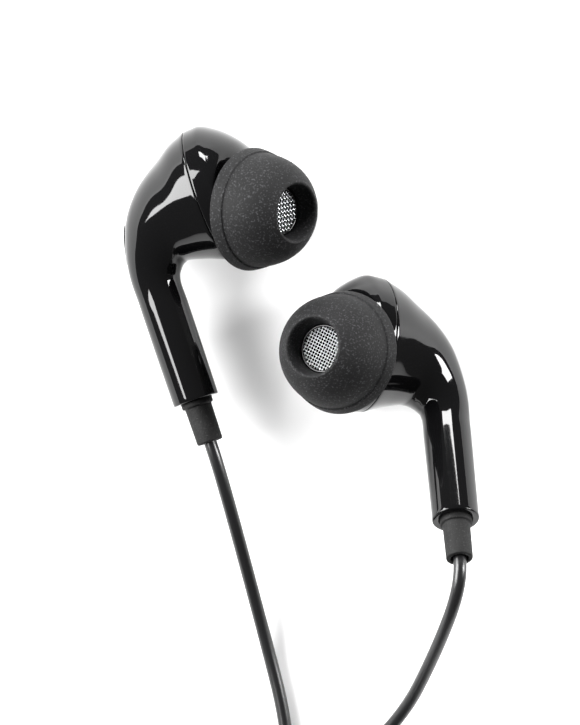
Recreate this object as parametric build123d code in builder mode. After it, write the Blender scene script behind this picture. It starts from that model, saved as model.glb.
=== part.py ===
"""Wired in-ear earphones: two stemmed housings with silicone tips, a Y cord and a 3.5 mm plug.

World frame, millimetres: everything lies on a table at Z = 0, with +Z up and +Y from the plug's
end towards the earpieces. The origin is under the middle of the pair of earpieces.

Earpiece frame: +Z runs up the stem's axis, +X is the housing's front normal, and the nozzle leans
from +X down towards the stem and sideways to -Y. The left earpiece is the right one mirrored.
"""

import os
from math import cos, pi, radians, sin, tan

from build123d import *

os.makedirs("parts", exist_ok=True)

# ---------------------------------------------------------------- housing
wall = 0.85
stem_end_z = -11.3
stem_end_radius = 2.38
crotch = (3.9, 1.0)  # centre of the inside bend, in X and Z
# The elbow's round sections fan about the crotch: angle from the stem, inner and outer distance.
elbow_fan = [(0, 1.43, 6.37), (20, 1.38, 6.70), (40, 1.36, 7.55), (60, 1.45, 9.10), (75, 1.50, 10.45), (90, 1.52, 12.0)]
flare_x = 5.9
flare_radius = 6.17
seam_x = 7.9
head_radius = 6.95
head_z = 8.15
rim_x = 9.3
rim_radius = 7.02
# The front cap's dome, from its rim to its apex, as X and radius.
dome_profile = [(9.3, 7.02), (10.6, 6.70), (11.8, 5.65), (12.9, 4.05), (13.7, 2.15), (14.0, 0.0)]
lap_length = 0.75
lap_radius = 6.15
fit_gap = 0.05

vent_length = 4.0
vent_width = 1.3
vent_z = 6.1
vent_depth = 0.45

# ---------------------------------------------------------------- nozzle and tip
nozzle_root = (8.1, 0.46, 6.89)
nozzle_side_angle = 33.5
nozzle_down_angle = 20.7
seat_reach = 5.3  # from nozzle_root to the flat seat that the nozzle stands on
seat_radius = 4.4
boss_reach = 2.0
boss_radius = 5.0
tip_reach = 5.1  # from nozzle_root to the tip's rear edge
nozzle_radius = 2.35
nozzle_lip_radius = 2.45
nozzle_bore_radius = 1.95
nozzle_end = 4.2  # from the tip's rear edge
mesh_radius = 2.2
mesh_thickness = 0.12
tip_bore_radius = 2.48
tip_length = 6.2
tip_travel = 8.0

# ---------------------------------------------------------------- driver
driver_radius = 5.5
ledge_x = 9.4
frame_back_x = 5.7
magnet_radius = 2.5
pole_radius = 2.6

# ---------------------------------------------------------------- cord and plug
cord_radius = 0.675
main_radius = 0.9
bush_radius = 1.4
bush_end_radius = 1.35
bush_flange_radius = 1.65
bush_length = 3.9
bush_flange_length = 0.6
cord_inside_z = -8.5
branch_coil_radius = 6.75
main_coil_radius = 9.5
stub_length = 5.0
main_stub_length = 6.6
yoke_length = 7.5
plug_radius = 1.75
grip_radius = 2.9
grip_length = 10.0
boot_length = 4.0
plug_axis = (12.0, 2.9)  # X and Z
boot_start_y = -87.8

# ---------------------------------------------------------------- where the earpieces lie
right_plane = Plane(origin=(-14.179, 4.767, 6.03), x_dir=(0.931, 0.325, 0.165), z_dir=(-0.320, 0.946, -0.058))
left_plane = Plane(origin=(14.918, -8.370, 8.298), x_dir=(-0.920, 0.160, 0.357), z_dir=(-0.065, 0.840, -0.540))

# ---------------------------------------------------------------- earpiece helpers
side_angle, down_angle = radians(nozzle_side_angle), radians(nozzle_down_angle)
nozzle_axis = Vector(cos(down_angle) * cos(side_angle), -cos(down_angle) * sin(side_angle), -sin(down_angle))
nozzle_across = nozzle_axis.cross(Vector(0, 0, 1)).normalized()


def along_nozzle(distance):
    """The point on the nozzle's axis at a distance from nozzle_root."""
    return Vector(*nozzle_root) + nozzle_axis * distance


def nozzle_plane(distance):
    """A plane square to the nozzle's axis."""
    return Plane(origin=along_nozzle(distance), x_dir=nozzle_across, z_dir=nozzle_axis)


def head_plane(x):
    """A plane square to the head's axis."""
    return Plane(origin=(x, 0, head_z), x_dir=(0, 1, 0), z_dir=(1, 0, 0))


tip_profile_plane = Plane(origin=along_nozzle(tip_reach), x_dir=nozzle_axis, z_dir=nozzle_axis.cross(nozzle_across))
head_profile_plane = Plane(origin=(0, 0, head_z), x_dir=(1, 0, 0), z_dir=(0, -1, 0))
head_axis = Axis((0, 0, head_z), (1, 0, 0))
nozzle_turn_axis = Axis(along_nozzle(0), nozzle_axis)


def tube_through(planes_and_radii):
    """A solid whose round sections stand on the given planes."""
    planes = [plane for plane, radius in planes_and_radii]
    with BuildPart() as solid:
        with BuildLine():
            Spline(*[plane.origin for plane in planes], tangents=[planes[0].z_dir, planes[-1].z_dir])
        for plane, radius in planes_and_radii:
            with BuildSketch(plane):
                Circle(radius)
        sweep(multisection=True)
    return solid.part


def elbow(grow):
    """The outside of the stem and the elbow, with every section's radius changed by grow."""
    sections = []
    for angle, inner, outer in elbow_fan:
        turn, middle = radians(angle), (inner + outer) / 2
        centre = (crotch[0] - middle * cos(turn), 0, crotch[1] + middle * sin(turn))
        plane = Plane(origin=centre, x_dir=(0, 1, 0), z_dir=(sin(turn), 0, cos(turn)))
        sections.append((plane, (outer - inner) / 2 + grow))
    sections.append((head_plane(flare_x), flare_radius + grow))
    sections.append((head_plane(seam_x), head_radius + grow))
    stem_top_radius = (elbow_fan[0][2] - elbow_fan[0][1]) / 2
    with BuildPart() as solid:
        add(tube_through(sections))
        with Locations((0, 0, (stem_end_z + crotch[1]) / 2)):
            Cone(stem_end_radius + grow, stem_top_radius + grow, crotch[1] - stem_end_z)
    return solid.part


def vent_prism(grow):
    """An upright slot-shaped block through the elbow's back."""
    with BuildPart() as solid:
        with BuildSketch(Plane(origin=(-7, 0, vent_z), x_dir=(0, 0, 1), z_dir=(1, 0, 0))):
            SlotOverall(vent_length + 2 * grow, vent_width + 2 * grow)
        extrude(amount=8)
    return solid.part


def ring(inner, outer, start_x, end_x):
    """A round disc or ring about the head's axis."""
    with BuildPart() as solid:
        with BuildSketch(head_plane(start_x)):
            Circle(outer)
            if inner > 0:
                Circle(inner, mode=Mode.SUBTRACT)
        extrude(amount=end_x - start_x)
    return solid.part


# ---------------------------------------------------------------- earpiece pieces, right side
pocket_floor = elbow(-vent_depth - 0.03)
with BuildPart() as rear_shell:
    add(elbow(0))
    add(elbow(-wall), mode=Mode.SUBTRACT)
    # rebate for the front cap's lap
    add(ring(0, lap_radius + fit_gap, seam_x - lap_length - fit_gap, seam_x + 1), mode=Mode.SUBTRACT)
    # recess for the bush's head
    with Locations((0, 0, stem_end_z)):
        Cylinder(bush_flange_radius + 0.03, 1.2, mode=Mode.SUBTRACT)
    # pocket for the vent's insert, with three holes under it
    add(vent_prism(0.03) - pocket_floor, mode=Mode.SUBTRACT)
    with BuildSketch(Plane(origin=(-7, 0, vent_z), x_dir=(0, 0, 1), z_dir=(1, 0, 0))):
        with GridLocations(1.1, 1, 3, 1):
            Circle(0.35)
    extrude(amount=7, mode=Mode.SUBTRACT)

with BuildPart() as rear_vent:
    add(elbow(0.08))
    add(elbow(-vent_depth), mode=Mode.SUBTRACT)
    add(vent_prism(0), mode=Mode.INTERSECT)

with BuildPart() as front_cap:
    # the boss that the nozzle stands on, cut off at the seam
    with BuildSketch(nozzle_plane(boss_reach)):
        Circle(boss_radius)
    with BuildSketch(nozzle_plane(seat_reach)):
        Circle(seat_radius)
    loft()
    with Locations((seam_x - 5, 0, head_z)):
        Box(10, 40, 40, mode=Mode.SUBTRACT)
    with BuildSketch(head_profile_plane):
        with BuildLine():
            Polyline((rim_x, rim_radius), (seam_x, head_radius), (seam_x, 0), (dome_profile[-1][0], 0))
            Spline(*dome_profile, tangents=[(1, -0.05), (0, -1)])
        make_face()
    revolve(axis=head_axis)
    with BuildSketch(nozzle_plane(seat_reach)):
        Circle(10)
    extrude(amount=8, mode=Mode.SUBTRACT)
    add(ring(0, lap_radius, seam_x - lap_length, seam_x + 0.5))
    with BuildSketch(nozzle_plane(seat_reach - 0.3)):
        Circle(nozzle_radius)
    extrude(amount=tip_reach + nozzle_end - seat_reach + 0.3)
    with BuildSketch(nozzle_plane(tip_reach + nozzle_end - 0.6)):
        Circle(nozzle_lip_radius)
    extrude(amount=0.6)
    # driver's pocket, front cavity, sound bore and the mesh's recess
    add(ring(0, driver_radius + 0.03, seam_x - lap_length - 1, ledge_x), mode=Mode.SUBTRACT)
    with BuildSketch(head_profile_plane):
        with BuildLine():
            Polyline((ledge_x - 0.1, 0), (ledge_x - 0.1, 4.9), (10.7, 4.9), (12.1, 3.6), (12.9, 1.8), (13.1, 0), close=True)
        make_face()
    revolve(axis=head_axis, mode=Mode.SUBTRACT)
    with BuildSketch(nozzle_plane(seat_reach - 2.4)):
        Circle(nozzle_bore_radius + 0.9)
    extrude(amount=1.5, mode=Mode.SUBTRACT)
    with BuildSketch(nozzle_plane(seat_reach - 1.3)):
        Circle(nozzle_bore_radius)
    extrude(amount=tip_reach + nozzle_end - seat_reach + 3, mode=Mode.SUBTRACT)
    with BuildSketch(nozzle_plane(tip_reach + nozzle_end - 0.2)):
        Circle(mesh_radius + 0.02)
    extrude(amount=1, mode=Mode.SUBTRACT)

with BuildPart() as nozzle_mesh:
    with BuildSketch(nozzle_plane(tip_reach + nozzle_end - 0.2)):
        Circle(mesh_radius)
    extrude(amount=mesh_thickness)

with BuildPart() as ear_tip:
    with BuildSketch(tip_profile_plane):
        with BuildLine():
            Polyline((0.0, 5.80), (0.0, 6.22), (0.10, 6.28), (1.30, 5.95), (1.36, 5.82))
            Spline((1.36, 5.82), (2.60, 5.50), (4.00, 4.93), (5.20, 4.12), (5.85, 3.45))
            Spline((5.85, 3.45), (tip_length, 3.08), (5.95, 2.80), tangents=[(0.55, -0.75), (-1.0, -0.35)])
            Polyline((5.95, 2.80), (nozzle_end + 0.1, tip_bore_radius), (0.7, tip_bore_radius), (0.7, 3.15))
            Polyline((0.7, 3.15), (4.45, 3.15), (4.9, 3.6))
            Spline((4.9, 3.6), (4.0, 4.38), (2.60, 5.00), (1.30, 5.42))
            Line((1.30, 5.42), (0.0, 5.80))
        make_face()
    revolve(axis=nozzle_turn_axis)

with BuildPart() as driver_frame:
    with BuildSketch(head_profile_plane):
        with BuildLine():
            Polyline(
                (frame_back_x, 0.6), (frame_back_x, 4.0), (7.4, 4.0), (7.4, driver_radius), (9.0, driver_radius),
                (9.0, 4.95), (7.8, 4.95), (7.8, 3.65), (frame_back_x + 0.35, 3.65), (frame_back_x + 0.35, 0.6),
                close=True,
            )
        make_face()
    revolve(axis=head_axis)

with BuildPart() as magnet:
    add(ring(0.6, magnet_radius, frame_back_x + 0.35, 7.35))

with BuildPart() as pole_piece:
    add(ring(0.6, pole_radius, 7.35, 7.95))

with BuildPart() as voice_coil:
    add(ring(2.72, 2.92, 7.25, 8.45))

with BuildPart() as diaphragm:
    with BuildSketch(head_profile_plane):
        with BuildLine():
            Polyline(
                (8.77, 0), (8.72, 1.0), (8.60, 1.9), (8.45, 2.6), (8.45, 2.95), (8.62, 3.3), (8.68, 3.75),
                (8.62, 4.2), (8.45, 4.6), (8.57, 4.6), (8.73, 4.2), (8.80, 3.75), (8.74, 3.3), (8.57, 2.95),
                (8.57, 2.66), (8.71, 1.95), (8.84, 1.0), (8.89, 0), close=True,
            )
        make_face()
    revolve(axis=head_axis)

with BuildPart() as driver_cover:
    add(ring(0, driver_radius, 9.1, ledge_x - 0.02))
    add(ring(4.95, driver_radius, 9.0, 9.1))
    with BuildSketch(head_plane(8.9)):
        Circle(0.55)
        with PolarLocations(2.6, 6):
            Circle(0.55)
    extrude(amount=1, mode=Mode.SUBTRACT)

with BuildPart() as damping_paper:
    add(ring(0, 1.5, frame_back_x - 0.1, frame_back_x))

with BuildPart() as stem_bush:
    with BuildSketch(Plane.XZ):
        with BuildLine():
            flange_end = stem_end_z - bush_flange_length
            Polyline(
                (cord_radius + 0.03, stem_end_z + 0.6), (bush_flange_radius, stem_end_z + 0.6),
                (bush_flange_radius, flange_end + 0.12), (bush_flange_radius - 0.12, flange_end),
                (bush_radius, flange_end), (bush_end_radius, flange_end - bush_length + 0.15),
                (bush_end_radius - 0.15, flange_end - bush_length), (0.95, flange_end - bush_length),
                (0.95, flange_end - bush_length + 0.7), (cord_radius + 0.03, flange_end - bush_length + 1.0),
                close=True,
            )
        make_face()
    revolve(axis=Axis.Z)

with BuildPart() as cord_crimp:
    with Locations((0, 0, cord_inside_z + 1.0)):
        Cylinder(1.15, 2.0)
    chamfer(cord_crimp.edges().filter_by(GeomType.CIRCLE), 0.15)


def lead_wire(side):
    """One thin lead from the crimp to the back of the driver."""
    with BuildPart() as solid:
        with BuildLine() as route:
            FilletPolyline(
                (0.2, side, cord_inside_z + 2.0), (0.25, side, 1.5), (1.3, side, 4.3), (3.2, side, 5.2),
                (frame_back_x, side, 5.1), radius=0.9,
            )
        with BuildSketch(Plane(origin=route.line @ 0, z_dir=route.line % 0)):
            Circle(0.14)
        sweep()
    return solid.part


with BuildPart() as lead_wire_front:
    add(lead_wire(-0.55))

with BuildPart() as lead_wire_back:
    add(lead_wire(0.55))

right_pieces = {
    "rear_shell": rear_shell, "rear_vent": rear_vent, "front_cap": front_cap, "nozzle_mesh": nozzle_mesh,
    "ear_tip": ear_tip, "driver_frame": driver_frame, "magnet": magnet, "pole_piece": pole_piece,
    "voice_coil": voice_coil, "diaphragm": diaphragm, "driver_cover": driver_cover,
    "damping_paper": damping_paper, "stem_bush": stem_bush, "cord_crimp": cord_crimp,
    "lead_wire_front": lead_wire_front, "lead_wire_back": lead_wire_back,
}
for piece_name, piece in right_pieces.items():
    placed = {
        "right": piece.part.moved(right_plane.location),
        "left": mirror(piece.part, about=Plane.XZ).moved(left_plane.location),
    }
    for side_name, solid in placed.items():
        solid.label = side_name + "_" + piece_name
        export_step(solid, "parts/" + solid.label + ".step")

# ---------------------------------------------------------------- cord runs
right_coil_centre = (-9.4, -53.0)
left_coil_centre = (9.4, -58.0)
main_coil_centre = (-11.3, -86.1)
branch_strand = branch_coil_radius + 2 * cord_radius  # radius of the outermost turns
main_strand = main_coil_radius + 2 * main_radius
branch_top = cord_radius + 1.25
main_top = main_radius + 3 * 1.77
yoke_x, yoke_y, yoke_end_z = 0.0, -66.0, 1.45

right_start = right_plane.from_local_coords(Vector(0, 0, cord_inside_z))
left_start = left_plane.from_local_coords(Vector(0, 0, cord_inside_z))
right_bend = right_plane.from_local_coords(Vector(0, 0, -19.3))
left_bend = left_plane.from_local_coords(Vector(0, 0, -18.6))
right_line_x = right_coil_centre[0] + branch_strand
left_line_x = left_coil_centre[0] - branch_strand

cord_routes = {
    "right_cord": (cord_radius, [
        right_start, right_bend, (-4.0, -28.9, 0.85), (-1.1, -40.2, cord_radius),
        (right_line_x, right_coil_centre[1] + stub_length, cord_radius)]),
    "left_cord": (cord_radius, [
        left_start, left_bend, (13.82, -31.0, 12.5), (10.3, -39.2, 3.1), (left_line_x, -47.2, cord_radius),
        (left_line_x, left_coil_centre[1] + stub_length, cord_radius)]),
    "right_cord_end": (cord_radius, [
        (right_line_x, right_coil_centre[1] - stub_length, branch_top), (right_line_x, yoke_y, branch_top)]),
    "left_cord_end": (cord_radius, [
        (left_line_x, left_coil_centre[1] - stub_length, branch_top), (left_line_x, yoke_y, branch_top)]),
    "main_cord_start": (main_radius, [
        (yoke_x, yoke_y - yoke_length, yoke_end_z), (yoke_x, -75.0, yoke_end_z), (yoke_x, -78.0, main_radius),
        (yoke_x, main_coil_centre[1] + main_stub_length, main_radius)]),
    "main_cord_end": (main_radius, [
        (main_coil_centre[0] + main_stub_length, main_coil_centre[1] + main_strand, main_top),
        (-1.6, main_coil_centre[1] + main_strand, main_top),
        (plug_axis[0], main_coil_centre[1] + main_strand, plug_axis[1]), (plug_axis[0], boot_start_y, plug_axis[1])]),
}


def bend_radii(points):
    """The radius of each corner's arc: 0.45 of the shorter run over the tangent of half the turn."""
    radii = []
    for before, corner, after in zip(points, points[1:], points[2:]):
        arriving, leaving = corner - before, after - corner
        half_turn = radians(arriving.get_angle(leaving)) / 2
        radii.append(0.45 * min(arriving.length, leaving.length) / tan(half_turn))
    return radii


for cord_name, (radius, stations) in cord_routes.items():
    points = [Vector(*station) for station in stations]
    radii = bend_radii(points)
    with BuildPart() as cord:
        with BuildLine() as route:
            if radii:
                FilletPolyline(*points, radius=radii)
            else:
                Line(points[0], points[1])
        with BuildSketch(Plane(origin=route.line @ 0, z_dir=route.line % 0)):
            Circle(radius)
        sweep()
    length = sum(edge.length for edge in route.edges())
    print(cord_name, "length", round(length, 1), "bends", [round(value, 1) for value in radii],
          "volume over section x length", round(cord.part.volume / (length * pi * radius**2), 4))
    cord.part.label = cord_name
    export_step(cord.part, "parts/" + cord_name + ".step")


def coil(centre, mean_radius, radius, columns, height, stub, stubs):
    """The outside of a round coil, with a straight stub for each end of the cord."""
    half_width = columns * radius
    with BuildPart() as solid:
        with BuildSketch(Plane(origin=(centre[0], centre[1], 0), x_dir=(1, 0, 0), z_dir=(0, -1, 0))):
            with Locations((mean_radius, height / 2)):
                RectangleRounded(2 * half_width, height, 1.3 * radius)
        revolve(axis=Axis((centre[0], centre[1], 0), (0, 0, 1)))
        for start, direction in stubs:
            with BuildSketch(Plane(origin=start, z_dir=direction)):
                Circle(radius)
            extrude(amount=stub)
    return solid.part


with BuildPart() as right_cord_coil:
    add(coil(right_coil_centre, branch_coil_radius, cord_radius, 3, branch_top + cord_radius, stub_length, [
        ((right_line_x, right_coil_centre[1], cord_radius), (0, 1, 0)),
        ((right_line_x, right_coil_centre[1], branch_top), (0, -1, 0))]))

with BuildPart() as left_cord_coil:
    add(coil(left_coil_centre, branch_coil_radius, cord_radius, 3, branch_top + cord_radius, stub_length, [
        ((left_line_x, left_coil_centre[1], cord_radius), (0, 1, 0)),
        ((left_line_x, left_coil_centre[1], branch_top), (0, -1, 0))]))

with BuildPart() as main_cord_coil:
    add(coil(main_coil_centre, main_coil_radius, main_radius, 3, main_top + main_radius, main_stub_length, [
        ((main_coil_centre[0] + main_strand, main_coil_centre[1], main_radius), (0, 1, 0)),
        ((main_coil_centre[0], main_coil_centre[1] + main_strand, main_top), (1, 0, 0))]))

# ---------------------------------------------------------------- yoke where the cord splits
with BuildPart() as yoke:
    with BuildSketch(Plane(origin=(yoke_x, yoke_y, branch_top), x_dir=(1, 0, 0), z_dir=(0, -1, 0))):
        RectangleRounded(5.2, 3.8, 1.6)
    with BuildSketch(Plane(origin=(yoke_x, yoke_y - yoke_length, yoke_end_z), x_dir=(1, 0, 0), z_dir=(0, -1, 0))):
        RectangleRounded(3.2, 2.8, 1.3)
    loft()

# ---------------------------------------------------------------- plug


def plug_plane(distance):
    """A plane square to the plug, at a distance from the boot's end."""
    return Plane(origin=(plug_axis[0], boot_start_y - distance, plug_axis[1]), x_dir=(1, 0, 0), z_dir=(0, -1, 0))


plug_profile_plane = Plane(origin=(plug_axis[0], boot_start_y, plug_axis[1]), x_dir=(0, -1, 0), z_dir=(0, 0, 1))
plug_turn_axis = Axis((plug_axis[0], boot_start_y, plug_axis[1]), (0, -1, 0))
shoulder = boot_length + grip_length


def turned(profile):
    """A solid turned about the plug's axis from distance and radius pairs."""
    with BuildPart() as solid:
        with BuildSketch(plug_profile_plane):
            with BuildLine():
                Polyline(*profile, close=True)
            make_face()
        revolve(axis=plug_turn_axis)
    return solid.part


with BuildPart() as plug_boot:
    add(turned([(0, 0), (0, 1.45), (boot_length, 1.85), (boot_length, 0)]))

with BuildPart() as plug_grip:
    add(turned([
        (boot_length, 0), (boot_length, 2.3), (boot_length + 0.6, grip_radius), (shoulder - 0.5, grip_radius),
        (shoulder, grip_radius - 0.5), (shoulder, 0)]))

with BuildPart() as plug_sleeve:
    add(turned([(shoulder, 0), (shoulder, plug_radius), (shoulder + 7.9, plug_radius), (shoulder + 7.9, 0)]))

with BuildPart() as plug_insulator_rear:
    add(turned([(shoulder + 7.9, 0), (shoulder + 7.9, plug_radius), (shoulder + 8.5, plug_radius), (shoulder + 8.5, 0)]))

with BuildPart() as plug_ring:
    add(turned([(shoulder + 8.5, 0), (shoulder + 8.5, plug_radius), (shoulder + 10.3, plug_radius), (shoulder + 10.3, 0)]))

with BuildPart() as plug_insulator_front:
    add(turned([(shoulder + 10.3, 0), (shoulder + 10.3, plug_radius), (shoulder + 10.9, plug_radius), (shoulder + 10.9, 0)]))

with BuildPart() as plug_tip:
    add(turned([
        (shoulder + 10.9, 0), (shoulder + 10.9, 1.6), (shoulder + 11.4, 1.2), (shoulder + 11.7, 1.2),
        (shoulder + 12.3, 1.6), (shoulder + 13.7, 0.7), (shoulder + 14.0, 0.3), (shoulder + 14.0, 0)]))

for piece_name, piece in {
    "right_cord_coil": right_cord_coil, "left_cord_coil": left_cord_coil, "main_cord_coil": main_cord_coil,
    "yoke": yoke, "plug_boot": plug_boot, "plug_grip": plug_grip, "plug_sleeve": plug_sleeve,
    "plug_insulator_rear": plug_insulator_rear, "plug_ring": plug_ring,
    "plug_insulator_front": plug_insulator_front, "plug_tip": plug_tip,
}.items():
    piece.part.label = piece_name
    export_step(piece.part, "parts/" + piece_name + ".step")
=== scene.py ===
"""Wired in-ear earphones lying on a pale table, seen from straight above."""

import math

import bpy
import numpy as np
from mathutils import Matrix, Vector


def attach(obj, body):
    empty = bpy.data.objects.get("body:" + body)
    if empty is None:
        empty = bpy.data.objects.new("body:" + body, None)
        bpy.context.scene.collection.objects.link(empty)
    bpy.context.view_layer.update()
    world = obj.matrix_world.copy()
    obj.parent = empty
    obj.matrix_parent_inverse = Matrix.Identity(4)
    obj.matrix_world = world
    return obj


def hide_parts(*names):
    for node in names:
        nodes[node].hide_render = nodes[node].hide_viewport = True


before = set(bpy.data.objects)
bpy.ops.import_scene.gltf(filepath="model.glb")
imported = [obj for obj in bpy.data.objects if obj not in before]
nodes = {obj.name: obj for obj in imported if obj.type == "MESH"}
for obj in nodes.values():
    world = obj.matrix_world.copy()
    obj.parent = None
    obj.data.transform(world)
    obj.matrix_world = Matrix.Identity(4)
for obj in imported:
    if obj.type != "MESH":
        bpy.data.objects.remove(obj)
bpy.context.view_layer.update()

MM = 0.001
scene = bpy.context.scene

# ---------------------------------------------------------------- earpiece dimensions, millimetres
STEM_END_Z = -11.3
CROTCH = (3.9, 1.0)
ELBOW_FAN = [
    (0, 1.43, 6.37), (20, 1.38, 6.70), (40, 1.36, 7.55),
    (60, 1.45, 9.10), (75, 1.50, 10.45), (90, 1.52, 12.0)]
HEAD_Z = 8.15
NOZZLE_ROOT = np.array((8.1, 0.46, 6.89))
SIDE_ANGLE, DOWN_ANGLE = math.radians(33.5), math.radians(20.7)
NOZZLE_AXIS = np.array((
    math.cos(DOWN_ANGLE) * math.cos(SIDE_ANGLE),
    -math.cos(DOWN_ANGLE) * math.sin(SIDE_ANGLE),
    -math.sin(DOWN_ANGLE)))
SEAT_REACH = 5.3
TIP_REACH = 5.1
NOZZLE_END = 4.2
CORD_RADIUS = 0.675
MAIN_RADIUS = 0.9


class Side:
    """One earpiece's place on the table. The left one is mirrored."""

    def __init__(self, name, origin, x_dir, z_dir, flip):
        self.name = name
        self.origin = np.array(origin)
        self.x = np.array(x_dir) / np.linalg.norm(x_dir)
        z = np.array(z_dir) - np.dot(z_dir, self.x) * self.x
        self.z = z / np.linalg.norm(z)
        self.y = np.cross(self.z, self.x) * flip
        self.flip = flip

    def place(self, points):
        """Points of the earpiece frame in millimetres to the row frame in metres."""
        points = np.asarray(points, dtype=float)
        across, side, along = points[..., 0:1] * self.x, points[..., 1:2] * self.y, points[..., 2:3] * self.z
        return (self.origin + across + side + along) * MM


RIGHT = Side("right", (-14.179, 4.767, 6.03), (0.931, 0.325, 0.165), (-0.320, 0.946, -0.058), 1)
LEFT = Side("left", (14.918, -8.370, 8.298), (-0.920, 0.160, 0.357), (-0.065, 0.840, -0.540), -1)

# ---------------------------------------------------------------- camera
CAMERA_DISTANCE = 0.42
FOCUS_HEIGHT = 0.007
FIELD_HEIGHT = 0.074
camera_data = bpy.data.cameras.new("camera")
camera_data.lens = 36 * CAMERA_DISTANCE / FIELD_HEIGHT
camera_data.clip_end = 20
camera = bpy.data.objects.new("camera", camera_data)
camera.location = (-0.00099, -0.00204, CAMERA_DISTANCE + FOCUS_HEIGHT)
scene.collection.objects.link(camera)
scene.camera = camera

# ---------------------------------------------------------------- materials


def material(name, color, rough, metal=0.0, specular=0.5, coat=0.0, sheen=0.0):
    """A plain Principled material and its nodes."""
    made = bpy.data.materials.new(name)
    made.use_nodes = True
    shader = made.node_tree.nodes["Principled BSDF"]
    shader.inputs["Base Color"].default_value = (*color, 1)
    shader.inputs["Roughness"].default_value = rough
    shader.inputs["Metallic"].default_value = metal
    shader.inputs["Specular IOR Level"].default_value = specular
    shader.inputs["Coat Weight"].default_value = coat
    shader.inputs["Coat Roughness"].default_value = 0.04
    shader.inputs["Sheen Weight"].default_value = sheen
    return made


def grain(made, scale, distance, strength=1.0, detail=3.0):
    """Fine bumps over the whole surface; scale is in bumps per metre."""
    tree = made.node_tree
    place = tree.nodes.new("ShaderNodeTexCoord")
    noise = tree.nodes.new("ShaderNodeTexNoise")
    bump = tree.nodes.new("ShaderNodeBump")
    noise.inputs["Scale"].default_value = scale
    noise.inputs["Detail"].default_value = detail
    bump.inputs["Distance"].default_value = distance
    bump.inputs["Strength"].default_value = strength
    tree.links.new(place.outputs["Object"], noise.inputs["Vector"])
    tree.links.new(noise.outputs["Fac"], bump.inputs["Height"])
    tree.links.new(bump.outputs["Normal"], tree.nodes["Principled BSDF"].inputs["Normal"])
    return made


def speckle(made, scale, low, high, start=0.62, end=0.72):
    """Small lighter specks of dust on a dark piece."""
    tree = made.node_tree
    place = tree.nodes.new("ShaderNodeTexCoord")
    noise = tree.nodes.new("ShaderNodeTexNoise")
    ramp = tree.nodes.new("ShaderNodeValToRGB")
    noise.inputs["Scale"].default_value = scale
    noise.inputs["Detail"].default_value = 4.0
    ramp.color_ramp.elements[0].position = start
    ramp.color_ramp.elements[0].color = (*low, 1)
    ramp.color_ramp.elements[1].position = end
    ramp.color_ramp.elements[1].color = (*high, 1)
    tree.links.new(place.outputs["Object"], noise.inputs["Vector"])
    tree.links.new(noise.outputs["Fac"], ramp.inputs["Fac"])
    tree.links.new(ramp.outputs["Color"], tree.nodes["Principled BSDF"].inputs["Base Color"])
    return made


HOUSING = grain(material("gloss_black", (0.0022, 0.0022, 0.0024), 0.05, specular=0.32), 700, 0.000002)
TIP = grain(speckle(material("silicone", (0.02, 0.02, 0.021), 0.7, specular=0.2), 5200,
                    (0.0042, 0.0042, 0.0045), (0.032, 0.032, 0.034), 0.55, 0.68), 6000, 0.00002)
BUSH = grain(speckle(material("bush_rubber", (0.02, 0.02, 0.02), 0.65, specular=0.25), 6500,
                     (0.0035, 0.0035, 0.0035), (0.03, 0.03, 0.03), 0.6, 0.72), 7000, 0.00005)
CORD = grain(material("cord_jacket", (0.006, 0.006, 0.0065), 0.3), 3500, 0.000006)
VENT = grain(speckle(material("vent_cloth", (0.02, 0.02, 0.02), 0.75), 8000,
                     (0.008, 0.008, 0.008), (0.1, 0.1, 0.1), 0.55, 0.7), 8000, 0.00006)
MESH = grain(material("steel_mesh", (0.62, 0.62, 0.64), 0.28, metal=1.0), 9000, 0.000004)
STEEL = grain(material("driver_steel", (0.5, 0.5, 0.51), 0.3, metal=1.0), 4000, 0.000003)
MAGNET = grain(material("nickel", (0.42, 0.41, 0.4), 0.2, metal=1.0), 3000, 0.000003)
COPPER = grain(material("copper", (0.72, 0.32, 0.16), 0.28, metal=1.0), 8000, 0.000005)
FILM = grain(material("film", (0.35, 0.34, 0.3), 0.22), 2500, 0.000006)
PAPER = grain(material("paper", (0.75, 0.74, 0.7), 0.85), 6000, 0.00002)
PLUG_METAL = grain(material("plug_nickel", (0.72, 0.72, 0.71), 0.13, metal=1.0), 2500, 0.000003)
GRIP = grain(material("grip_plastic", (0.006, 0.006, 0.0065), 0.25), 2500, 0.000005)
INSULATOR = grain(material("insulator", (0.01, 0.01, 0.01), 0.4), 3000, 0.000004)

# ---------------------------------------------------------------- mesh helpers


def steps_through(keys, values, count):
    """Evenly spaced points on a smooth curve through values, given at rising keys."""
    keys, values = np.asarray(keys, float), np.asarray(values, float)
    slopes = np.gradient(values, keys, axis=0)
    at = np.linspace(keys[0], keys[-1], count)
    place = np.clip(np.searchsorted(keys, at, side="right") - 1, 0, len(keys) - 2)
    width = keys[place + 1] - keys[place]
    t = (at - keys[place]) / width
    t, width = t[:, None], width[:, None]
    return ((2 * t**3 - 3 * t**2 + 1) * values[place] + (t**3 - 2 * t**2 + t) * width * slopes[place]
            + (3 * t**2 - 2 * t**3) * values[place + 1] + (t**3 - t**2) * width * slopes[place + 1])


def round_ring(centre, normal, radius, around=96):
    """The points of a circle square to normal, starting on the +Y side."""
    normal = np.asarray(normal, float) / np.linalg.norm(normal)
    first = np.array((0.0, 1.0, 0.0)) - normal[1] * normal
    first /= np.linalg.norm(first)
    second = np.cross(normal, first)
    turn = np.linspace(0, 2 * math.pi, around, endpoint=False)[:, None]
    return np.asarray(centre) + radius * (np.cos(turn) * first + np.sin(turn) * second)


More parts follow.
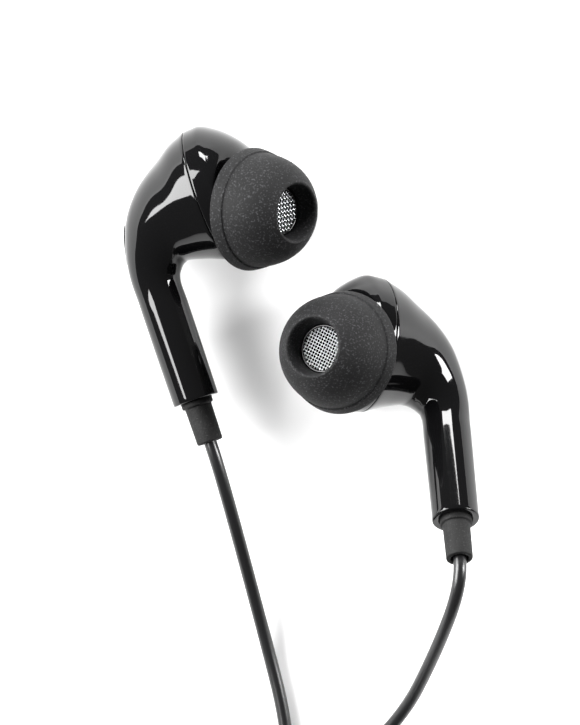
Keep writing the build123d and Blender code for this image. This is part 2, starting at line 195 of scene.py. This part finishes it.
def skin(name, side, rings, paint, body="set", stands_for=()):
    """A smooth surface through rings of points, in the earpiece frame."""
    rings = np.array(rings)
    count, around = rings.shape[:2]
    places = side.place(rings.reshape(-1, 3)) if side else rings.reshape(-1, 3) * MM
    faces = []
    for row in range(count - 1):
        for k in range(around):
            a, b = row * around + k, row * around + (k + 1) % around
            face = (a, b, b + around, a + around)
            faces.append(face if side is None or side.flip > 0 else face[::-1])
    return finish_mesh(name, places, faces, paint, body, stands_for)


def finish_mesh(name, places, faces, paint, body, stands_for):
    """The object itself, painted, smooth and riding on its body."""
    mesh = bpy.data.meshes.new(name)
    mesh.from_pydata([tuple(p) for p in places], [], faces)
    mesh.polygons.foreach_set("use_smooth", [True] * len(mesh.polygons))
    mesh.update()
    made = bpy.data.objects.new(name, mesh)
    scene.collection.objects.link(made)
    mesh.materials.append(paint)
    if stands_for:
        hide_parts(*stands_for)
    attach(made, body)
    return made


def turned(name, side, origin, axis, profile, paint, body="set", stands_for=(), around=96):
    """A surface of revolution from pairs of distance along axis and radius."""
    origin, axis = np.asarray(origin, float), np.asarray(axis, float)
    rings = [round_ring(origin + axis * along, axis, radius, around) for along, radius in profile]
    return skin(name, side, rings, paint, body, stands_for)


def curved(points, count):
    """Points on a smooth curve through the given ones."""
    points = np.asarray(points, float)
    keys = np.concatenate([[0], np.cumsum(np.linalg.norm(np.diff(points, axis=0), axis=1))])
    return [tuple(p) for p in steps_through(keys, points, count)]


# ---------------------------------------------------------------- cords
BRANCH_COIL_RADIUS = 6.75
MAIN_COIL_RADIUS = 9.5
BRANCH_STRAND = BRANCH_COIL_RADIUS + 2 * CORD_RADIUS
MAIN_STRAND = MAIN_COIL_RADIUS + 2 * MAIN_RADIUS
BRANCH_TOP = CORD_RADIUS + 1.25
MAIN_TOP = MAIN_RADIUS + 3 * 1.77
RIGHT_COIL = (-9.4, -53.0)
LEFT_COIL = (9.4, -58.0)
MAIN_COIL = (-11.3, -86.1)
YOKE_X, YOKE_Y, YOKE_END_Y, YOKE_END_Z = 0.0, -66.0, -73.5, 1.45
COIL_STEPS = 20


def coil_points(centre, start_angle, direction, turns, mean_radius, radius, row_height, rows):
    """Control points of a wound coil: each row of three turns lies on the one before."""
    columns = [mean_radius + 2 * radius, mean_radius, mean_radius - 2 * radius]
    lanes = []
    for row in range(rows):
        order = columns if row % 2 == 0 else columns[::-1]
        lanes += [(column, radius + row * row_height) for column in order]
    points = []
    for step in range(1, int(turns * COIL_STEPS)):
        turn, part = divmod(step / COIL_STEPS, 1.0)
        here, after = lanes[int(turn)], lanes[min(int(turn) + 1, len(lanes) - 1)]
        ease = min(max((part - 0.75) / 0.25, 0.0), 1.0)
        ease = ease * ease * (3 - 2 * ease)
        reach = (here[0] + (after[0] - here[0]) * ease) / math.cos(math.pi / COIL_STEPS)
        height = here[1] + (after[1] - here[1]) * ease
        angle = start_angle + direction * 2 * math.pi * step / COIL_STEPS
        points.append((centre[0] + reach * math.cos(angle), centre[1] + reach * math.sin(angle), height))
    return points


def cord_curve(name, points, radius, stands_for):
    """One open spline with a round section."""
    data = bpy.data.curves.new(name, "CURVE")
    data.dimensions = "3D"
    spline = data.splines.new("NURBS")
    spline.points.add(len(points) - 1)
    for point, place in zip(spline.points, points):
        point.co = (place[0] * MM, place[1] * MM, place[2] * MM, 1)
    spline.order_u = 3
    spline.use_endpoint_u = True
    spline.resolution_u = 8
    data.bevel_depth = radius * MM
    data.bevel_resolution = 8
    data.use_fill_caps = True
    made = bpy.data.objects.new(name, data)
    scene.collection.objects.link(made)
    data.materials.append(CORD)
    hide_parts(*stands_for)
    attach(made, "set")
    return made


def earpiece_point(side, z):
    """A point on the stem's axis in row millimetres."""
    return tuple(side.place((0, 0, z)) / MM)


right_line_x = RIGHT_COIL[0] + BRANCH_STRAND
left_line_x = LEFT_COIL[0] - BRANCH_STRAND
right_cord = cord_curve(
    "right_branch_cord",
    [earpiece_point(RIGHT, -8.5), earpiece_point(RIGHT, -13.0), earpiece_point(RIGHT, -19.3),
     (-4.0, -28.9, 0.85), (-1.1, -40.2, CORD_RADIUS),
     (right_line_x, RIGHT_COIL[1] + 5, CORD_RADIUS), (right_line_x, RIGHT_COIL[1] + 1, CORD_RADIUS)]
    + coil_points(RIGHT_COIL, 0, -1, 6, BRANCH_COIL_RADIUS, CORD_RADIUS, 1.25, 2)
    + [(right_line_x, RIGHT_COIL[1] - 1, BRANCH_TOP), (right_line_x, RIGHT_COIL[1] - 5, BRANCH_TOP),
       (right_line_x, YOKE_Y, BRANCH_TOP)],
    CORD_RADIUS, ("right_cord", "right_cord_coil", "right_cord_end"))
left_cord = cord_curve(
    "left_branch_cord",
    [earpiece_point(LEFT, -8.5), earpiece_point(LEFT, -13.0), earpiece_point(LEFT, -18.6),
     (13.82, -31.0, 12.5), (10.3, -39.2, 3.1), (left_line_x, -47.2, CORD_RADIUS),
     (left_line_x, LEFT_COIL[1] + 5, CORD_RADIUS), (left_line_x, LEFT_COIL[1] + 1, CORD_RADIUS)]
    + coil_points(LEFT_COIL, math.pi, 1, 6, BRANCH_COIL_RADIUS, CORD_RADIUS, 1.25, 2)
    + [(left_line_x, LEFT_COIL[1] - 1, BRANCH_TOP), (left_line_x, LEFT_COIL[1] - 5, BRANCH_TOP),
       (left_line_x, YOKE_Y, BRANCH_TOP)],
    CORD_RADIUS, ("left_cord", "left_cord_coil", "left_cord_end"))
PLUG_X, PLUG_Z, BOOT_Y = 12.0, 2.9, -87.8
main_line_y = MAIN_COIL[1] + MAIN_STRAND
main_cord = cord_curve(
    "main_cord",
    [(YOKE_X, YOKE_END_Y, YOKE_END_Z), (YOKE_X, -75.0, YOKE_END_Z), (YOKE_X, -78.0, MAIN_RADIUS),
     (YOKE_X, MAIN_COIL[1] + 6.6, MAIN_RADIUS), (YOKE_X, MAIN_COIL[1] + 1.5, MAIN_RADIUS)]
    + coil_points(MAIN_COIL, 0, -1, 11.75, MAIN_COIL_RADIUS, MAIN_RADIUS, 1.77, 4)
    + [(MAIN_COIL[0] + 1.5, main_line_y, MAIN_TOP), (MAIN_COIL[0] + 6.6, main_line_y, MAIN_TOP),
       (-1.6, main_line_y, MAIN_TOP), (PLUG_X, main_line_y, PLUG_Z), (PLUG_X, BOOT_Y, PLUG_Z)],
    MAIN_RADIUS, ("main_cord_start", "main_cord_coil", "main_cord_end"))

# ---------------------------------------------------------------- earpieces


def along_nozzle(distance):
    """A point on the nozzle's axis, in the earpiece frame."""
    return NOZZLE_ROOT + NOZZLE_AXIS * distance


def rear_shell(side):
    """Stem and elbow as one smooth shape, with its rims turned in."""
    stations = [
        (0.0, -11.16, 0.0, 2.38), (0.0, -7.5, 0.0, 2.41), (0.0, -4.0, 0.0, 2.44), (0.0, -1.5, 0.0, 2.455)]
    for angle, inner, outer in ELBOW_FAN:
        turn, middle = math.radians(angle), (inner + outer) / 2
        x, z = CROTCH[0] - middle * math.cos(turn), CROTCH[1] + middle * math.sin(turn)
        stations.append((x, z, turn, (outer - inner) / 2))
    quarter = math.pi / 2
    stations += [(5.9, HEAD_Z, quarter, 6.17), (7.78, HEAD_Z, quarter, 6.93)]
    stations = np.array(stations)
    keys = np.concatenate([[0], np.cumsum(np.linalg.norm(np.diff(stations[:, :2], axis=0), axis=1))])
    stem_rim = [
        (-10.7, 1.68), (-11.22, 1.68), (-11.28, 1.72), (-11.3, 1.78),
        (-11.3, 2.24), (-11.28, 2.31), (-11.22, 2.365)]
    rings = [round_ring((0, 0, z), (0, 0, 1), radius) for z, radius in stem_rim]
    for x, z, turn, radius in steps_through(keys, stations, 90):
        rings.append(round_ring((x, 0, z), (math.sin(turn), 0, math.cos(turn)), radius))
    rings += [round_ring((x, 0, HEAD_Z), (1, 0, 0), radius) for x, radius in
              ((7.85, 6.93), (7.88, 6.90), (7.89, 6.85), (7.89, 6.2), (7.1, 6.2))]
    return skin(side.name + "_rear_housing", side, rings, HOUSING, "set",
                (side.name + "_rear_shell",))


def front_cap(side):
    """The cap's dome leaning over to the nozzle's seat, and the nozzle."""
    x_axis = np.array((1.0, 0.0, 0.0))
    middle = (NOZZLE_AXIS + x_axis) / np.linalg.norm(NOZZLE_AXIS + x_axis)
    seat = along_nozzle(SEAT_REACH)
    stations = [
        (8.02, 0, HEAD_Z, *x_axis, 6.965), (8.7, 0, HEAD_Z, *x_axis, 7.01),
        (9.4, -0.02, HEAD_Z, *x_axis, 7.0),
        (10.5, -0.42, 7.65, *(0.6 * x_axis + 0.4 * middle), 6.62), (11.5, -1.15, 6.78, *middle, 5.85),
        (*(seat - 0.5 * NOZZLE_AXIS), *NOZZLE_AXIS, 4.75), (*(seat - 0.12 * NOZZLE_AXIS), *NOZZLE_AXIS, 4.35)]
    stations = np.array(stations)
    runs = np.linalg.norm(np.diff(stations[:, [0, 1, 2, 6]], axis=0), axis=1)
    keys = np.concatenate([[0], np.cumsum(runs)])
    rings = [round_ring((x, 0, HEAD_Z), (1, 0, 0), radius) for x, radius in
             ((7.2, 6.1), (7.93, 6.1), (7.93, 6.85), (7.94, 6.90), (7.97, 6.94))]
    for station in steps_through(keys, stations, 60):
        rings.append(round_ring(station[:3], station[3:6], station[6]))
    mouth = TIP_REACH + NOZZLE_END
    nozzle = [
        (SEAT_REACH - 0.02, 4.15), (SEAT_REACH, 3.9), (SEAT_REACH, 2.7), (SEAT_REACH + 0.1, 2.42),
        (SEAT_REACH + 0.4, 2.35), (mouth - 0.7, 2.35), (mouth - 0.6, 2.45), (mouth - 0.06, 2.45),
        (mouth, 2.39), (mouth, 2.26), (mouth - 0.05, 2.22), (mouth - 0.2, 2.2), (mouth - 0.2, 1.95),
        (SEAT_REACH - 1.3, 1.95)]
    rings += [round_ring(along_nozzle(reach), NOZZLE_AXIS, radius) for reach, radius in nozzle]
    return skin(side.name + "_front_housing", side, rings, HOUSING, "set",
                (side.name + "_front_cap",))


def ear_tip(side):
    """The silicone tip: skirt with its parting line, dome, rounded mouth and the sleeve on the nozzle."""
    outer = curved([(1.44, 5.80), (2.60, 5.60), (4.00, 5.10), (5.05, 4.42), (5.7, 3.76), (6.02, 3.34)], 28)
    mouth = curved([(6.02, 3.32), (6.17, 3.14), (6.17, 3.0), (6.06, 2.88), (5.85, 2.80)], 10)
    skirt = [
        (0.12, 5.78), (0.0, 5.84), (-0.02, 6.0), (0.0, 6.17), (0.06, 6.24), (0.14, 6.25), (0.6, 6.15),
        (1.22, 5.98), (1.30, 5.955), (1.34, 5.90), (1.36, 5.83)]
    sleeve = [
        (5.3, 2.68), (4.6, 2.53), (4.3, 2.48), (0.8, 2.48), (0.7, 2.6), (0.7, 3.05), (0.8, 3.15),
        (4.3, 3.15), (4.9, 3.6)]
    profile = skirt + outer + mouth[1:] + sleeve
    profile += curved([(4.9, 3.6), (4.0, 4.38), (2.60, 5.00), (1.30, 5.42), (0.12, 5.78)], 16)[1:]
    return turned(side.name + "_silicone_tip", side, along_nozzle(TIP_REACH), NOZZLE_AXIS, profile, TIP,
                  side.name + "_tip", (side.name + "_ear_tip",), around=128)


def bush(side):
    """The strain relief that the cord comes out of."""
    profile = [
        (0.6, 0.71), (0.6, 1.62), (-0.42, 1.65), (-0.52, 1.63), (-0.58, 1.56), (-0.6, 1.47),
        (-0.64, 1.42), (-0.75, 1.40), (-2.5, 1.375), (-4.3, 1.352), (-4.41, 1.33), (-4.47, 1.27),
        (-4.5, 1.18), (-4.5, 0.98), (-4.47, 0.95), (-3.8, 0.94), (-3.5, 0.71)]
    profile = [(-along, radius) for along, radius in profile]
    return turned(side.name + "_strain_relief", side, (0, 0, STEM_END_Z), (0, 0, -1), profile, BUSH,
                  "set", (side.name + "_stem_bush",))


MESH_PITCH = 0.32
WIRE_RADIUS = 0.048
WIRE_SIDES = 6
MESH_RADIUS = 2.19
WEAVE_LIFT = 0.045


def woven_mesh(side):
    """Two crossed sets of round wires that pass over and under each other, cut to a disc."""
    first = np.cross(NOZZLE_AXIS, (0, 0, 1.0))
    first /= np.linalg.norm(first)
    second = np.cross(NOZZLE_AXIS, first)
    across = [(first + second) / math.sqrt(2), (first - second) / math.sqrt(2)]
    centre = along_nozzle(TIP_REACH + NOZZLE_END - 0.13)
    places, faces = [], []
    count = int(MESH_RADIUS / MESH_PITCH)
    for which in (0, 1):
        run, step = across[which], across[1 - which]
        for wire in range(-count, count + 1):
            half = math.sqrt(MESH_RADIUS**2 - (wire * MESH_PITCH)**2)
            stations = np.linspace(-half, half, max(int(2 * half / (MESH_PITCH / 4)), 2))
            for index, s in enumerate(stations):
                lift = WEAVE_LIFT * math.cos(math.pi * (s / MESH_PITCH + wire + which))
                middle = centre + run * s + step * wire * MESH_PITCH + NOZZLE_AXIS * lift
                for k in range(WIRE_SIDES):
                    turn = 2 * math.pi * k / WIRE_SIDES
                    outward = math.cos(turn) * step + math.sin(turn) * NOZZLE_AXIS
                    places.append(middle + WIRE_RADIUS * outward)
                if index:
                    low = len(places) - 2 * WIRE_SIDES
                    high = low + WIRE_SIDES
                    for k in range(WIRE_SIDES):
                        after = (k + 1) % WIRE_SIDES
                        faces.append((low + k, low + after, high + after, high + k))
    return finish_mesh(side.name + "_woven_mesh", side.place(np.array(places)), faces, MESH, "set",
                       (side.name + "_nozzle_mesh",))


for side in (RIGHT, LEFT):
    rear_shell(side)
    front_cap(side)
    ear_tip(side)
    bush(side)
    woven_mesh(side)

# ---------------------------------------------------------------- pieces kept from the frame
paints = {
    "rear_vent": VENT, "driver_frame": STEEL, "magnet": MAGNET, "pole_piece": STEEL,
    "voice_coil": COPPER, "diaphragm": FILM, "driver_cover": STEEL, "damping_paper": PAPER,
    "cord_crimp": BUSH, "lead_wire_front": COPPER, "lead_wire_back": COPPER, "yoke": BUSH,
    "plug_boot": BUSH, "plug_grip": GRIP, "plug_sleeve": PLUG_METAL, "plug_insulator_rear": INSULATOR,
    "plug_ring": PLUG_METAL, "plug_insulator_front": INSULATOR, "plug_tip": PLUG_METAL,
}
for name, node in nodes.items():
    short = name.split("_", 1)[1] if name.startswith(("right_", "left_")) else name
    if short not in paints:
        continue
    node.data.materials.clear()
    node.data.materials.append(paints[short])
    node.data.polygons.foreach_set("use_smooth", [True] * len(node.data.polygons))
    if short in ("yoke", "plug_grip", "plug_boot"):
        bevel = node.modifiers.new("rounded", "BEVEL")
        bevel.width = 0.25 * MM
        bevel.segments = 4
    split = node.modifiers.new("edges", "EDGE_SPLIT")
    split.split_angle = math.radians(32)

# ---------------------------------------------------------------- floor and light
floor_mesh = bpy.data.meshes.new("table")
REACH = 3.0
corners = [(-REACH, -REACH, 0), (REACH, -REACH, 0), (REACH, REACH, 0), (-REACH, REACH, 0)]
floor_mesh.from_pydata(corners, [], [(0, 1, 2, 3)])
floor = bpy.data.objects.new("table", floor_mesh)
floor.location.z = -0.00002
scene.collection.objects.link(floor)
floor_mesh.materials.append(material("table_white", (0.9, 0.9, 0.9), 0.6, specular=0.2))


def softbox(name, place, aim, width, height, power):
    """A rectangular area light that faces aim."""
    data = bpy.data.lights.new(name, "AREA")
    data.shape = "RECTANGLE"
    data.size, data.size_y = width, height
    data.energy = power
    light = bpy.data.objects.new(name, data)
    light.location = place
    light.rotation_euler = (Vector(aim) - Vector(place)).to_track_quat("-Z", "Y").to_euler()
    scene.collection.objects.link(light)
    return light


softbox("left_softbox", (-0.62, 0.16, 0.40), (0, 0, 0.01), 0.62, 0.46, 20)
softbox("right_softbox", (0.95, 0.25, 0.42), (0, 0, 0.01), 0.25, 0.5, 16)
softbox("back_softbox", (0.0, 1.0, 0.38), (0, 0, 0.01), 0.7, 0.2, 15)

world = bpy.data.worlds.new("studio")
world.use_nodes = True
world.node_tree.nodes["Background"].inputs["Color"].default_value = (1, 1, 1, 1)
world.node_tree.nodes["Background"].inputs["Strength"].default_value = 0.2
scene.world = world
scene.view_settings.view_transform = "Standard"
